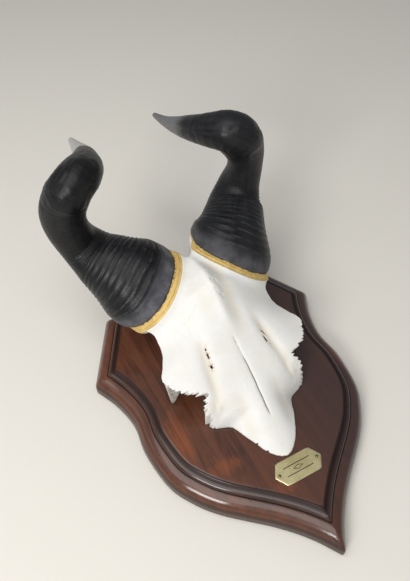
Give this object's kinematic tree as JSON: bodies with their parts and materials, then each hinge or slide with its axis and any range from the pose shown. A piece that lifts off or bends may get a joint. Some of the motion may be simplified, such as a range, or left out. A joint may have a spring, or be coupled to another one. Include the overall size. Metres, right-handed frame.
{
  "type": "mounted hartebeest skull",
  "caption": "Bleached hartebeest skull cap with ringed black horns and gilded horn rims, mounted on a moulded dark wood wall shield with a bare brass plate.",
  "frame": {"origin": "on the shield's flat back, on its middle line, 271 mm above its lower tip", "axes": "+Z out of the shield's front towards the skull, +Y up the shield towards the horns' tips, +X to the right of someone facing the front"},
  "size_m": [0.2898, 0.5377, 0.2296],
  "materials": {
    "varnished_wood": "gloss varnish",
    "bone": "bleached bone, matt",
    "black_horn": "satin horn",
    "gilding": "gilded filler",
    "pale_brass": "satin",
    "dark_brass": "aged"
  },
  "bodies": {
    "root": {"shield": "varnished_wood", "skull": "bone", "horn_right": "black_horn", "horn_left": "black_horn", "gilt_band_right": "gilding", "gilt_band_left": "gilding", "plaque": "pale_brass", "plaque_pin_left": "dark_brass", "plaque_pin_right": "dark_brass"}
  },
  "joints": []
}
